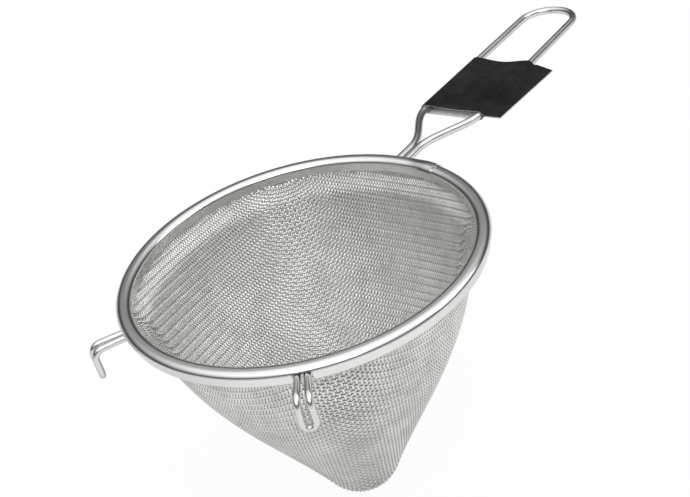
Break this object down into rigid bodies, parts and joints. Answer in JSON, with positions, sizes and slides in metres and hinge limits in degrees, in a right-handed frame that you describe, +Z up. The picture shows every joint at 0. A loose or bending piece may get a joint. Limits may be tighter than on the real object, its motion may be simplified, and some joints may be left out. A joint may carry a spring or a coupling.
{
  "type": "soup strainer",
  "caption": "Cone-shaped wire-mesh strainer for soup, with a folded steel rim, pot-edge hooks and a long wire loop handle carrying a plain sleeve.",
  "frame": {"origin": "middle of the rim, level with the undersides of the hooks, where the strainer sits on the edge of a pot", "axes": "+X along the handle, away from the rim; +Z up out of the basket; +Y completes a right-handed frame"},
  "size_m": [0.3689, 0.1796, 0.1498],
  "materials": {
    "rim_steel": "polished stainless steel strip",
    "wire_steel": "drawn stainless steel wire, satin bright",
    "cloth_steel": "woven stainless steel wire cloth",
    "sleeve_film": "black satin film, plain"
  },
  "bodies": {
    "strainer": {"rim_band": "rim_steel", "frame_ring": "wire_steel", "mesh_basket": "cloth_steel", "hook_left": "wire_steel", "hook_right": "wire_steel", "handle_wire": "wire_steel"},
    "sleeve": {"label_sleeve": "sleeve_film"}
  },
  "joints": [
    {"name": "sleeve_slide", "type": "slide", "parent": "strainer", "child": "sleeve", "axis": [1, 0, 0], "range_m": [0, 0.1355]}
  ]
}
